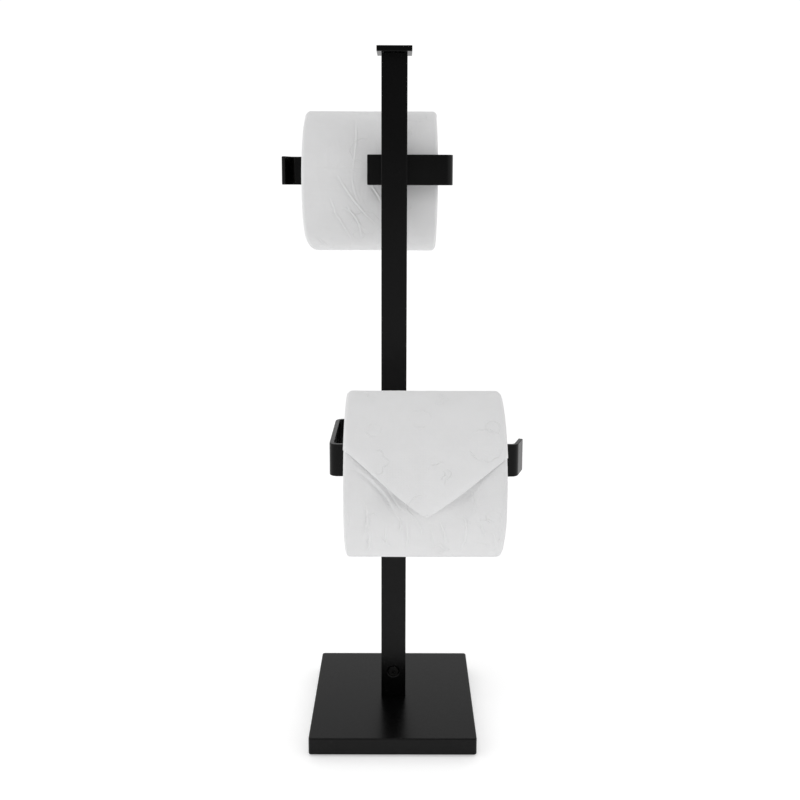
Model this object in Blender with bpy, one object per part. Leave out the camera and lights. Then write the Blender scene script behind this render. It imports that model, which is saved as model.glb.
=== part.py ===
"""Free-standing holder for two toilet rolls.

A heavy square steel plate on rubber feet carries a flat rectangular tube as its post. Two arms of
flat bar, bent to one shape, are screwed to the front and to the back of the post, and a roll hangs
by its cardboard core from the long leg of each. Metres, +Z up, origin on the floor under the
middle of the plate; the lower arm reaches towards -Y and the upper one towards +Y.
"""

import math

import bmesh
import bpy
from mathutils import Matrix, Vector

MM = 0.001
GAP = 0.3 * MM  # clearance kept between neighbouring pieces

# Foot plate and its rubber feet
PLATE_SIDE = 120 * MM
PLATE_THICKNESS = 12.5 * MM
PLATE_CORNER_RADIUS = 2 * MM
PLATE_EDGE_SOFTENING = 0.7 * MM
FOOT_RADIUS = 7 * MM
FOOT_STANDS_OUT = 1.5 * MM
FOOT_SUNK = 1.0 * MM
FOOT_FROM_SIDE = 15 * MM

# Post, its spigot and its cap
TOTAL_HEIGHT = 500 * MM
POST_WIDTH = 18.5 * MM
POST_DEPTH = 10.5 * MM
POST_WALL = 1.5 * MM
SPIGOT_HEIGHT = 35 * MM
CAP_SIDE = 25 * MM
CAP_THICKNESS = 4 * MM
PLUG_LENGTH = 12 * MM
EDGE_SOFTENING = 0.4 * MM

# Arms: one flat bar, bent in plan, seen from above with the post at the origin
BAR_HEIGHT = 22 * MM
BAR_THICKNESS = 3 * MM
BEND_RADIUS = 4 * MM  # to the middle of the bar
STUB_LENGTH = 19.8 * MM  # from the post's middle to the free end of the leg on the post
OUTER_LEG_X = 41.1 * MM  # from the post's middle to the middle of the leg that reaches away
ROLL_LEG_Y = 71.4 * MM  # from the post's middle to the middle of the leg that holds the roll
LIP_BEND_X = 79 * MM  # where the roll leg ends and the lip's bend begins
LIP_ANGLE = math.radians(70)
LIP_LENGTH = 12.5 * MM
LOWER_ARM_Z = 222 * MM
UPPER_ARM_Z = 414.8 * MM

# M4 socket screws
SHANK_RADIUS = 2 * MM
SUNK_HEAD_RADIUS = 3.75 * MM
SUNK_HEAD_RIM = 0.2 * MM
BUTTON_HEAD_RADIUS = 3.8 * MM
BUTTON_HEAD_HEIGHT = 2.2 * MM
BUTTON_RIM_HEIGHT = 0.55 * MM  # straight side of the head, below its dome
DOME_STEPS = 3
DOME_END = math.radians(62)  # where the dome meets the flat land round the socket
SOCKET_ACROSS_FLATS = 2.5 * MM
SOCKET_DEPTH = 1.3 * MM
HOLE_RADIUS = SHANK_RADIUS + GAP
ARM_SCREW_SPACING = 12 * MM
LOCK_SCREW_ABOVE_PLATE = 20 * MM
LOCK_SCREW_LENGTH = 8 * MM
PLATE_SCREW_X = 4.5 * MM
PLATE_SCREW_LENGTH = 24 * MM
PLATE_SCREW_SUNK = 0.4 * MM  # head below the plate's underside
SPIGOT_HOLE_DEPTH = 13 * MM  # tapped up from the spigot's foot for the plate screws
NUT_PLATE_HEIGHT = 24 * MM
NUT_PLATE_THICKNESS = 3 * MM

# Rolls
ROLL_WIDTH = 101 * MM
ROLL_RADIUS = 54.4 * MM
ROLL_END_ROUNDING = 2.5 * MM
LOWER_ROLL_X = 20.4 * MM  # from the post's middle to the roll's middle; a roll can slide along its arm
UPPER_ROLL_X = -18.5 * MM
CORE_INNER_RADIUS = 20 * MM
CORE_WALL = 1.0 * MM
TAIL_THICKNESS = 0.7 * MM
TAIL_START = math.radians(-20)  # angles run from the roll's top towards its outer side
TAIL_SIDE_END = math.radians(62)
TAIL_TIP_END = math.radians(100)

ROUND_STEPS = 64
SCREW_STEPS = 24
BEND_STEPS = 8
ROUNDING_STEPS = 3
TAIL_STEPS_ACROSS = 12
TAIL_STEPS_ALONG = 20

# Worked out from the sizes above
PLATE_TOP = FOOT_STANDS_OUT + PLATE_THICKNESS
POST_BOTTOM = PLATE_TOP + GAP
CAP_BOTTOM = TOTAL_HEIGHT - CAP_THICKNESS
POST_TOP = CAP_BOTTOM - GAP
CAVITY_WIDTH = POST_WIDTH - 2 * POST_WALL
CAVITY_DEPTH = POST_DEPTH - 2 * POST_WALL
POST_LEG_Y = POST_DEPTH / 2 + GAP + BAR_THICKNESS / 2
CORE_FLAT_RADIUS = CORE_INNER_RADIUS * math.cos(math.pi / ROUND_STEPS)
ROLL_BELOW_BAR = math.sqrt((CORE_FLAT_RADIUS - GAP) ** 2 - (BAR_THICKNESS / 2) ** 2) - BAR_HEIGHT / 2


def make_material(name, colour, roughness, metallic):
    """Principled material of one colour."""
    material = bpy.data.materials.new(name)
    material.use_nodes = True
    shader = material.node_tree.nodes["Principled BSDF"]
    shader.inputs["Base Color"].default_value = (*colour, 1.0)
    shader.inputs["Roughness"].default_value = roughness
    shader.inputs["Metallic"].default_value = metallic
    return material


def make_object(name, shape, material=None, location=(0, 0, 0), rotation=(0, 0, 0), parent=None):
    """Object from a bmesh, shaded smooth with its real edges kept sharp."""
    mesh = bpy.data.meshes.new(name)
    shape.to_mesh(mesh)
    shape.free()
    mesh.shade_smooth()
    mesh.set_sharp_from_angle(angle=math.radians(30))
    if material:
        mesh.materials.append(material)
    made = bpy.data.objects.new(name, mesh)
    bpy.context.scene.collection.objects.link(made)
    made.location = location
    made.rotation_euler = rotation
    made.parent = parent
    return made


def box(width, depth, height, bottom=0.0):
    """Block centred on X and Y, standing on the given height."""
    shape = bmesh.new()
    place = Matrix.Translation((0, 0, bottom + height / 2)) @ Matrix.Diagonal((width, depth, height, 1))
    bmesh.ops.create_cube(shape, size=1.0, matrix=place)
    return shape


def turned(profile, steps, ring=False):
    """Solid of revolution about Z from (radius, height) points; a ring's profile closes on itself."""
    shape = bmesh.new()
    points = [shape.verts.new((radius, 0.0, height)) for radius, height in profile]
    pairs = zip(points, points[1:] + points[:1]) if ring else zip(points, points[1:])
    edges = [shape.edges.new(pair) for pair in pairs]
    bmesh.ops.spin(shape, geom=points + edges, axis=(0, 0, 1), angle=math.tau, steps=steps)
    bmesh.ops.remove_doubles(shape, verts=shape.verts, dist=MM / 1000)
    bmesh.ops.recalc_face_normals(shape, faces=shape.faces)
    return shape


def soften(target, width, segments=2):
    """Round an object's sharp edges."""
    bevel = target.modifiers.new("softened edges", "BEVEL")
    bevel.width = width
    bevel.segments = segments
    bevel.limit_method = "ANGLE"
    bevel.angle_limit = math.radians(60)


def combine(target, shape, operation="DIFFERENCE", location=(0, 0, 0), rotation=(0, 0, 0)):
    """Cut a shape out of an object, or join it on, at a place in the object's own frame."""
    tool = make_object(f"{target.name}_tool", shape, location=location, rotation=rotation, parent=target)
    tool.hide_render = True
    tool.display_type = "WIRE"
    boolean = target.modifiers.new(tool.name, "BOOLEAN")
    boolean.object = tool
    boolean.operation = operation


def hole(length):
    """Cutter for a round screw hole, half on each side of its origin."""
    return turned([(0, -length / 2), (HOLE_RADIUS, -length / 2), (HOLE_RADIUS, length / 2), (0, length / 2)],
                  SCREW_STEPS)


def sunk_profile(length, spare, above):
    """Countersunk screw about -Z from its head's face, or with spare room all round, its hole."""
    shank = SHANK_RADIUS + spare
    head = SUNK_HEAD_RADIUS + spare
    cone_end = -SUNK_HEAD_RIM - (SUNK_HEAD_RADIUS - SHANK_RADIUS)
    return [(0, -length), (shank, -length), (shank, cone_end),
            (head, -SUNK_HEAD_RIM), (head, above), (0, above)]


def cut_socket(screw, head_top):
    """Sink the hexagonal socket into a screw's head."""
    to_corner = SOCKET_ACROSS_FLATS / math.sqrt(3)
    socket = bmesh.new()
    bmesh.ops.create_cone(socket, cap_ends=True, segments=6, depth=2 * SOCKET_DEPTH,
                          radius1=to_corner, radius2=to_corner)
    combine(screw, socket, location=(0, 0, head_top))


def sunk_screw(name, material, length, location, rotation):
    """Countersunk screw; its head's face is at its origin and its shank runs along its -Z."""
    shape = turned(sunk_profile(length, 0.0, 0.0), SCREW_STEPS)
    screw = make_object(name, shape, material, location, rotation)
    cut_socket(screw, 0.0)


def button_screw(name, material, length, location, rotation):
    """Button-head screw; the head's underside is at its origin and its shank runs along its -Z."""
    profile = [(0, -length), (SHANK_RADIUS, -length), (SHANK_RADIUS, 0), (BUTTON_HEAD_RADIUS, 0)]
    dome_height = BUTTON_HEAD_HEIGHT - BUTTON_RIM_HEIGHT
    for step in range(DOME_STEPS):
        turn = DOME_END * step / DOME_STEPS
        profile.append((BUTTON_HEAD_RADIUS * math.cos(turn),
                        BUTTON_RIM_HEIGHT + dome_height * math.sin(turn)))
    profile += [(BUTTON_HEAD_RADIUS * math.cos(DOME_END), BUTTON_HEAD_HEIGHT), (0, BUTTON_HEAD_HEIGHT)]
    shape = turned(profile, SCREW_STEPS)
    screw = make_object(name, shape, material, location, rotation)
    cut_socket(screw, BUTTON_HEAD_HEIGHT)


def base_plate(coat):
    """Thick square plate with rounded corners, recesses for the feet and two screw holes."""
    shape = box(PLATE_SIDE, PLATE_SIDE, PLATE_THICKNESS, FOOT_STANDS_OUT)
    corners = [edge for edge in shape.edges if abs(edge.verts[0].co.z - edge.verts[1].co.z) > MM]
    bmesh.ops.bevel(shape, geom=corners, offset=PLATE_CORNER_RADIUS, segments=4, profile=0.5, affect="EDGES")
    plate = make_object("base_plate", shape, coat)
    soften(plate, PLATE_EDGE_SOFTENING)
    for x, y in foot_places():
        combine(plate, recess(), location=(x, y, FOOT_STANDS_OUT))
    head_z = FOOT_STANDS_OUT + PLATE_SCREW_SUNK
    for x in (-PLATE_SCREW_X, PLATE_SCREW_X):
        shape = turned(sunk_profile(PLATE_SCREW_LENGTH, GAP, PLATE_THICKNESS), SCREW_STEPS)
        combine(plate, shape, location=(x, 0, head_z), rotation=(math.pi, 0, 0))


def recess():
    """Cutter for a foot's shallow round recess."""
    radius = FOOT_RADIUS + GAP
    return turned([(0, -FOOT_SUNK), (radius, -FOOT_SUNK), (radius, FOOT_SUNK), (0, FOOT_SUNK)], SCREW_STEPS)


def foot_places():
    """Centres of the four feet."""
    out = PLATE_SIDE / 2 - FOOT_FROM_SIDE
    return [(-out, -out), (out, -out), (out, out), (-out, out)]


def rubber_feet(rubber):
    """Four round pads, glued into the plate's recesses."""
    height = FOOT_STANDS_OUT + FOOT_SUNK - GAP
    for number, (x, y) in enumerate(foot_places(), start=1):
        shape = turned([(0, 0), (FOOT_RADIUS - EDGE_SOFTENING, 0), (FOOT_RADIUS, EDGE_SOFTENING),
                        (FOOT_RADIUS, height), (0, height)], SCREW_STEPS)
        make_object(f"foot_{number}", shape, rubber, (x, y, 0))


def post_spigot(steel):
    """Solid block on the plate that the post slides over, tapped for three screws."""
    spigot = make_object("post_spigot", box(CAVITY_WIDTH - 2 * GAP, CAVITY_DEPTH - 2 * GAP, SPIGOT_HEIGHT),
                         steel, (0, 0, POST_BOTTOM))
    soften(spigot, EDGE_SOFTENING)
    for x in (-PLATE_SCREW_X, PLATE_SCREW_X):
        combine(spigot, hole(2 * SPIGOT_HOLE_DEPTH), location=(x, 0, 0))
    combine(spigot, turned(sunk_profile(POST_DEPTH, GAP, GAP), SCREW_STEPS),
            location=(0, -POST_DEPTH / 2, LOCK_SCREW_ABOVE_PLATE - GAP), rotation=(math.pi / 2, 0, 0))


def plate_screws(black):
    """Two countersunk screws up through the plate into the spigot."""
    head_z = FOOT_STANDS_OUT + PLATE_SCREW_SUNK
    for side, x in (("left", -PLATE_SCREW_X), ("right", PLATE_SCREW_X)):
        sunk_screw(f"plate_screw_{side}", black, PLATE_SCREW_LENGTH, (x, 0, head_z), (math.pi, 0, 0))


def post(coat):
    """Rectangular tube with holes for the lock screw in front and for both arms' screws."""
    shape = box(POST_WIDTH, POST_DEPTH, POST_TOP - POST_BOTTOM, POST_BOTTOM)
    ends = [face for face in shape.faces if abs(face.normal.z) > 0.5]
    bmesh.ops.delete(shape, geom=ends, context="FACES_ONLY")
    tube = make_object("post", shape, coat)
    wall = tube.modifiers.new("wall", "SOLIDIFY")
    wall.thickness = POST_WALL
    wall.offset = -1
    wall.use_even_offset = True
    soften(tube, EDGE_SOFTENING)
    combine(tube, turned(sunk_profile(LOCK_SCREW_LENGTH, GAP, GAP), SCREW_STEPS),
            location=(0, -POST_DEPTH / 2, PLATE_TOP + LOCK_SCREW_ABOVE_PLATE), rotation=(math.pi / 2, 0, 0))
    for arm_z, side in ((LOWER_ARM_Z, -1), (UPPER_ARM_Z, 1)):
        for rise in (-ARM_SCREW_SPACING / 2, ARM_SCREW_SPACING / 2):
            combine(tube, hole(2 * POST_WALL + GAP), location=(0, side * POST_DEPTH / 2, arm_z + rise),
                    rotation=(math.pi / 2, 0, 0))


def lock_screw(black):
    """Countersunk screw that holds the post on its spigot, flush with the post's front."""
    sunk_screw("post_lock_screw", black, LOCK_SCREW_LENGTH,
               (0, -POST_DEPTH / 2, PLATE_TOP + LOCK_SCREW_ABOVE_PLATE), (math.pi / 2, 0, 0))


def top_cap(coat):
    """Square plate with a plug that fits inside the post's top."""
    cap = make_object("top_cap", box(CAP_SIDE, CAP_SIDE, CAP_THICKNESS), coat, (0, 0, CAP_BOTTOM))
    soften(cap, EDGE_SOFTENING)
    plug = box(CAVITY_WIDTH - 2 * GAP, CAVITY_DEPTH - 2 * GAP, PLUG_LENGTH + CAP_THICKNESS / 2, -PLUG_LENGTH)
    combine(cap, plug, "UNION")


def arm_shape():
    """Flat bar along its bent route, for the arm in front; its height is centred on zero."""
    shape = bmesh.new()
    place = Vector((STUB_LENGTH, -POST_LEG_Y, 0))
    heading = math.pi
    half_bar = Vector((0, BAR_THICKNESS / 2, BAR_HEIGHT / 2))
    corners = [(-1, -1), (1, -1), (1, 1), (-1, 1)]
    section = [shape.verts.new(place + Vector((0, y * half_bar.y, z * half_bar.z))) for y, z in corners]
    edges = [shape.edges.new((section[i - 1], section[i])) for i in range(len(section))]
    quarter = math.pi / 2
    route = [(STUB_LENGTH + OUTER_LEG_X - BEND_RADIUS, quarter),
             (ROLL_LEG_Y - POST_LEG_Y - 2 * BEND_RADIUS, quarter),
             (OUTER_LEG_X - BEND_RADIUS + LIP_BEND_X, LIP_ANGLE),
             (LIP_LENGTH, 0)]
    for length, bend in route:
        along = Vector((math.cos(heading), math.sin(heading), 0))
        run = bmesh.ops.extrude_edge_only(shape, edges=edges)["geom"]
        run_points = [part for part in run if isinstance(part, bmesh.types.BMVert)]
        bmesh.ops.translate(shape, verts=run_points, vec=along * length)
        edges = [e for e in run if isinstance(e, bmesh.types.BMEdge)]
        place += along * length
        if bend:
            centre = place + BEND_RADIUS * Vector((-along.y, along.x, 0))
            steps = round(BEND_STEPS * bend / quarter)
            last = bmesh.ops.spin(shape, geom=edges, cent=centre, axis=(0, 0, 1), angle=bend, steps=steps)
            edges = [e for e in last["geom_last"] if isinstance(e, bmesh.types.BMEdge)]
            place = centre + Matrix.Rotation(bend, 3, "Z") @ (place - centre)
            heading += bend
    bmesh.ops.holes_fill(shape, edges=[edge for edge in shape.edges if edge.is_boundary], sides=4)
    bmesh.ops.recalc_face_normals(shape, faces=shape.faces)
    return shape


def arm(name, coat, height, turn):
    """One bent arm with its two screw holes in the leg on the post."""
    bar = make_object(name, arm_shape(), coat, (0, 0, height), (0, 0, turn))
    soften(bar, EDGE_SOFTENING)
    for rise in (-ARM_SCREW_SPACING / 2, ARM_SCREW_SPACING / 2):
        combine(bar, hole(2 * BAR_THICKNESS), location=(0, -POST_LEG_Y, rise), rotation=(math.pi / 2, 0, 0))


def arm_fixings(level, black, steel, height, side):
    """Tapped plate inside the post and the two screws that pull an arm onto the post."""
    wall_y = side * (CAVITY_DEPTH / 2 - GAP - NUT_PLATE_THICKNESS / 2)
    plate = box(CAVITY_WIDTH - 2 * GAP, NUT_PLATE_THICKNESS, NUT_PLATE_HEIGHT, -NUT_PLATE_HEIGHT / 2)
    nuts = make_object(f"{level}_nut_plate", plate, steel, (0, wall_y, height))
    soften(nuts, EDGE_SOFTENING)
    head_y = POST_LEG_Y + BAR_THICKNESS / 2 + GAP
    length = head_y - CAVITY_DEPTH / 2 + GAP + NUT_PLATE_THICKNESS
    for place, rise in (("bottom", -ARM_SCREW_SPACING / 2), ("top", ARM_SCREW_SPACING / 2)):
        combine(nuts, hole(2 * NUT_PLATE_THICKNESS), location=(0, 0, rise), rotation=(math.pi / 2, 0, 0))
        button_screw(f"{level}_arm_screw_{place}", black, length, (0, side * head_y, height + rise),
                     (-side * math.pi / 2, 0, 0))


def tail_shape():
    """Loose last sheet: it lies round the roll's outer side, with its corners folded to a point."""
    shape = bmesh.new()
    bmesh.ops.create_grid(shape, x_segments=TAIL_STEPS_ACROSS, y_segments=TAIL_STEPS_ALONG, size=0.5)
    radius = ROLL_RADIUS + GAP + TAIL_THICKNESS / 2
    for vertex in shape.verts:
        x = vertex.co.x * ROLL_WIDTH
        end = TAIL_TIP_END - (TAIL_TIP_END - TAIL_SIDE_END) * abs(vertex.co.x) * 2
        angle = TAIL_START + (end - TAIL_START) * (vertex.co.y + 0.5)
        vertex.co = (x, -radius * math.sin(angle), radius * math.cos(angle))
    bmesh.ops.recalc_face_normals(shape, faces=shape.faces)
    return shape


def roll(level, cardboard, tissue, middle_x, height, side):
    """Core, wound paper and last sheet, all round one axis through the roll's middle."""
    axis = bpy.data.objects.new(f"{level}_roll_axis", None)
    bpy.context.scene.collection.objects.link(axis)
    axis.location = (middle_x, side * ROLL_LEG_Y, height - ROLL_BELOW_BAR)
    axis.rotation_euler = (0, 0, 0 if side < 0 else math.pi)
    sideways = (0, math.pi / 2, 0)
    half = ROLL_WIDTH / 2
    inner = CORE_INNER_RADIUS
    outer = inner + CORE_WALL
    core = turned([(inner, -half), (outer, -half), (outer, half), (inner, half)], ROUND_STEPS, ring=True)
    make_object(f"{level}_roll_core", core, cardboard, rotation=sideways, parent=axis)
    bore = outer + GAP
    rounding = []
    for step in range(ROUNDING_STEPS + 1):
        turn = math.pi / 2 * step / ROUNDING_STEPS
        rounding.append((ROLL_RADIUS - ROLL_END_ROUNDING * (1 - math.sin(turn)),
                         half - ROLL_END_ROUNDING * (1 - math.cos(turn))))
    profile = [(bore, -half)] + [(r, -z) for r, z in rounding] + list(reversed(rounding)) + [(bore, half)]
    make_object(f"{level}_roll_paper", turned(profile, ROUND_STEPS, ring=True), tissue,
                rotation=sideways, parent=axis)
    tail = make_object(f"{level}_roll_tail", tail_shape(), tissue, parent=axis)
    sheet = tail.modifiers.new("sheet", "SOLIDIFY")
    sheet.thickness = TAIL_THICKNESS
    sheet.offset = 0


def build():
    """Model the holder with both of its rolls."""
    for leftover in list(bpy.data.objects):
        bpy.data.objects.remove(leftover, do_unlink=True)
    coat = make_material("black_coat", (0.014, 0.014, 0.015), 0.38, 0.0)
    black = make_material("black_screw", (0.02, 0.02, 0.02), 0.35, 0.8)
    steel = make_material("plated_steel", (0.55, 0.55, 0.54), 0.35, 1.0)
    rubber = make_material("rubber", (0.02, 0.02, 0.02), 0.85, 0.0)
    cardboard = make_material("cardboard", (0.48, 0.36, 0.24), 0.9, 0.0)
    tissue = make_material("tissue", (0.84, 0.84, 0.84), 0.95, 0.0)

    base_plate(coat)
    rubber_feet(rubber)
    post_spigot(steel)
    plate_screws(black)
    post(coat)
    lock_screw(black)
    top_cap(coat)
    levels = (("lower", LOWER_ARM_Z, -1, LOWER_ROLL_X), ("upper", UPPER_ARM_Z, 1, UPPER_ROLL_X))
    for level, height, side, roll_x in levels:
        arm(f"{level}_arm", coat, height, 0 if side < 0 else math.pi)
        arm_fixings(level, black, steel, height, side)
        roll(level, cardboard, tissue, roll_x, height, side)


build()
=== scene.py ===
import math

import bmesh
import bpy
import numpy as np
from mathutils import Euler, Matrix, Vector, noise


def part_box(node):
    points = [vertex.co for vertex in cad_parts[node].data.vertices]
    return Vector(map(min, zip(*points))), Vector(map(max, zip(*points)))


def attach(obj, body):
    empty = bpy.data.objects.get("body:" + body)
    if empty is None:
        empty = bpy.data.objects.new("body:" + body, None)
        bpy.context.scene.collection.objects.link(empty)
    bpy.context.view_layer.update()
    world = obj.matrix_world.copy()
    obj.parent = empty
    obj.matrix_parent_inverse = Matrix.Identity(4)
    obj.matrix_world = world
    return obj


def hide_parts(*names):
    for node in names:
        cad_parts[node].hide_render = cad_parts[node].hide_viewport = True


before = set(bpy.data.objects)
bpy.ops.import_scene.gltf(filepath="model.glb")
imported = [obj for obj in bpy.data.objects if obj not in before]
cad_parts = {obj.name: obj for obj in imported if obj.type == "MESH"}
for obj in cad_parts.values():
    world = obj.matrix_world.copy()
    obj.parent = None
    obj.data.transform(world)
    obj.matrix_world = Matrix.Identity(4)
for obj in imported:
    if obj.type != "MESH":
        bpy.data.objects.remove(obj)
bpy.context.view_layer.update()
MM = 0.001

# -------------------------------------------------------------------------------------------------
# Camera: a little above the middle of the stand, 0.66 m in front of it, looking slightly down.
# The lens is shifted so that the tall stand fills the square picture with its uprights straight.
# -------------------------------------------------------------------------------------------------
camera_data = bpy.data.cameras.new("camera")
camera_data.lens = 41.0
camera_data.sensor_width = 36.0
camera_data.shift_x = -0.005
camera_data.shift_y = -0.12
camera_data.clip_start = 0.02
camera = bpy.data.objects.new("camera", camera_data)
bpy.context.scene.collection.objects.link(camera)
looking_down, turned_right, tilted = math.radians(7.549), math.radians(0.142), math.radians(0.187)
aim = Euler((math.pi / 2 - looking_down, 0, -turned_right)).to_matrix().to_4x4()
camera.matrix_world = Matrix.Translation((0.0056, -0.6609, 0.4052)) @ aim @ Matrix.Rotation(tilted, 4, "Z")
bpy.context.scene.camera = camera


# -------------------------------------------------------------------------------------------------
# Studio: a pale table that glows under and behind the stand and less in front of it, bright soft
# walls to the sides, the left one brightest, a pale wall behind, a dim room in front and a small
# panel high up in front that draws the edges. Wire is how every surface here is wired up.
# -------------------------------------------------------------------------------------------------
class Wire:
    """An output socket in a node tree. Arithmetic on it adds Math nodes; node() adds any other."""

    def __init__(self, tree, socket=None):
        self.tree = tree
        self.socket = socket

    def node(self, kind, settings=(), inputs=(), output=0):
        """Add a node, apply its settings, feed its inputs and return one of its outputs."""
        made = self.tree.nodes.new(f"ShaderNode{kind}")
        for name, value in dict(settings).items():
            if name == "stops":
                while len(made.color_ramp.elements) < len(value):
                    made.color_ramp.elements.new(0.5)
                for element, (position, level) in zip(made.color_ramp.elements, value):
                    element.position = position
                    element.color = (level, level, level, 1)
            else:
                setattr(made, name, value)
        for name, value in dict(inputs).items():
            if isinstance(value, Wire):
                self.tree.links.new(value.socket, made.inputs[name])
            else:
                made.inputs[name].default_value = value
        return Wire(self.tree, made.outputs[output] if made.outputs else None)

    def math(self, operation, first, second=0.0, third=0.0):
        return self.node("Math", {"operation": operation}, {0: first, 1: second, 2: third})

    def __add__(self, other):
        return self.math("ADD", self, other)

    def __sub__(self, other):
        return self.math("SUBTRACT", self, other)

    def __rsub__(self, other):
        return self.math("SUBTRACT", other, self)

    def __mul__(self, other):
        return self.math("MULTIPLY", self, other)

    __radd__ = __add__
    __rmul__ = __mul__

    def between(self, low, high):
        """0 below low, 1 above high, and a smooth rise in between."""
        return self.node("MapRange", {"interpolation_type": "SMOOTHSTEP"}, {0: self, 1: low, 2: high})


def make_material(name):
    """A new material with an empty tree, and a wire to start its nodes from."""
    material = bpy.data.materials.new(name)
    material.use_nodes = True
    material.node_tree.nodes.clear()
    return material, Wire(material.node_tree)


def finish_surface(start, inputs):
    """Close a material with one Principled shader."""
    shader = start.node("BsdfPrincipled", inputs=inputs)
    start.node("OutputMaterial", inputs={"Surface": shader})


def blend_colours(start, share, first, second):
    return start.node("Mix", {"data_type": "RGBA"}, {0: share, 6: (*first, 1), 7: (*second, 1)}, output=2)


bpy.ops.object.select_all(action="DESELECT")
bpy.ops.mesh.primitive_plane_add(size=30)
table = bpy.context.object
table.name = "table"
table_surface, wire = make_material("pale_table")
spot = wire.node("TexCoord", output=3)
cloudy = wire.node("TexNoise", inputs={"Vector": spot, "Scale": 3.0})
glow = 0.45 + 0.37 * wire.node("SeparateXYZ", inputs={0: spot}, output=1).between(-0.6, -0.09)
finish_surface(wire, {"Base Color": blend_colours(wire, cloudy, (0.80, 0.80, 0.80), (0.84, 0.84, 0.84)),
                      "Roughness": 0.9, "Emission Color": blend_colours(wire, glow, (0, 0, 0), (1, 1, 1)),
                      "Emission Strength": 0.5})
table.data.materials.append(table_surface)

world = bpy.data.worlds.new("studio")
bpy.context.scene.world = world
world.use_nodes = True
world.node_tree.nodes.clear()
wire = Wire(world.node_tree)
direction = wire.node("TexCoord")
towards_back = wire.node("SeparateXYZ", inputs={0: direction}, output=1)
upwards = wire.node("SeparateXYZ", inputs={0: direction}, output=2)
sideways = wire.node("SeparateXYZ", inputs={0: direction}, output=0)
front = 1 - towards_back.between(-0.95, -0.6)
back = towards_back.between(0.0, 0.6)
high = upwards.between(0.35, 0.8)
left = 1 - sideways.between(-0.15, 0.15)
walls = 0.17 * front + (1 - front) * (1 - back) * (1.05 + 0.27 * left) + 0.9 * back
room = walls * (1 - high) + 0.7 * high
lit_room = wire.node("Background", inputs={"Color": (1, 1, 1, 1), "Strength": room})
seen_room = wire.node("Background", inputs={"Color": (1, 1, 1, 1), "Strength": 1.05})
seen = wire.node("LightPath")
shown_room = wire.node("MixShader", inputs={0: seen, 1: lit_room, 2: seen_room})
wire.node("OutputWorld", inputs={"Surface": shown_room})

key_panel = bpy.data.lights.new("key_panel", "AREA")
key_panel.shape = "RECTANGLE"
key_panel.size, key_panel.size_y = 0.3, 0.2
key_panel.energy = 0.9
key_stand = bpy.data.objects.new("key_panel", key_panel)
key_place = Vector((-0.12, -0.72, 1.05))
key_aim = key_place.to_track_quat("Z", "Y").to_matrix().to_4x4()
key_stand.matrix_world = Matrix.Translation(key_place) @ key_aim
bpy.context.scene.collection.objects.link(key_stand)
bpy.context.scene.view_settings.view_transform = "Standard"


# -------------------------------------------------------------------------------------------------
# Foot plate: a square of 12.5 mm steel with rounded corners and eased edges, powder coated black.
# Its weight keeps the stand upright. Underneath are recesses for four rubber feet and two sunk
# holes for the screws that hold the post's spigot.
# -------------------------------------------------------------------------------------------------
def add_block(name, low, high):
    """A box between two corners, with its place in its mesh."""
    bpy.ops.object.select_all(action="DESELECT")
    bpy.ops.mesh.primitive_cube_add(size=1, location=(Vector(low) + Vector(high)) / 2)
    block = bpy.context.object
    block.name = block.data.name = name
    block.scale = Vector(high) - Vector(low)
    bpy.ops.object.transform_apply(location=True, rotation=True, scale=True)
    return block


def add_drum(name, centre, radius, depth, far_radius=None, turn=(0, 0, 0), sides=48):
    """A cylinder, or a cone when its far end has another radius, with its place in its mesh."""
    bpy.ops.object.select_all(action="DESELECT")
    bpy.ops.mesh.primitive_cone_add(vertices=sides, radius1=radius, radius2=far_radius or radius, depth=depth,
                                    location=centre, rotation=turn)
    drum = bpy.context.object
    drum.name = drum.data.name = name
    bpy.ops.object.transform_apply(location=True, rotation=True, scale=True)
    return drum


def select_only(piece, kind, test):
    """In edit mode, select just the faces, edges or vertices that pass a test."""
    bpy.ops.mesh.select_all(action="DESELECT")
    bpy.ops.mesh.select_mode(type=kind)
    shape = bmesh.from_edit_mesh(piece.data)
    shape.normal_update()
    for part in {"VERT": shape.verts, "EDGE": shape.edges, "FACE": shape.faces}[kind]:
        part.select_set(bool(test(part)))
    bmesh.update_edit_mesh(piece.data)


def is_sharp(edge):
    return len(edge.link_faces) == 2 and edge.calc_face_angle() > math.radians(60)


def is_upright(edge):
    return abs((edge.verts[0].co - edge.verts[1].co).normalized().z) > 0.99


def ease_edges(piece, width, steps, test=is_sharp):
    """Round the edges that pass a test, all at once."""
    bpy.context.view_layer.objects.active = piece
    bpy.ops.object.mode_set(mode="EDIT")
    select_only(piece, "EDGE", test)
    bpy.ops.mesh.bevel(offset=width, segments=steps, affect="EDGES")
    bpy.ops.object.mode_set(mode="OBJECT")


def carve(piece, cutter, operation="DIFFERENCE"):
    """Cut a closed shape out of a piece, or add it on, and throw the cutter away."""
    boolean = piece.modifiers.new("carve", "BOOLEAN")
    boolean.object = cutter
    boolean.operation = operation
    bpy.context.view_layer.objects.active = piece
    bpy.ops.object.modifier_apply(modifier=boolean.name)
    bpy.data.objects.remove(cutter)
    bpy.ops.object.mode_set(mode="EDIT")
    bpy.ops.mesh.select_all(action="SELECT")
    bpy.ops.mesh.remove_doubles(threshold=0.002 * MM)
    bpy.ops.object.mode_set(mode="OBJECT")


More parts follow.
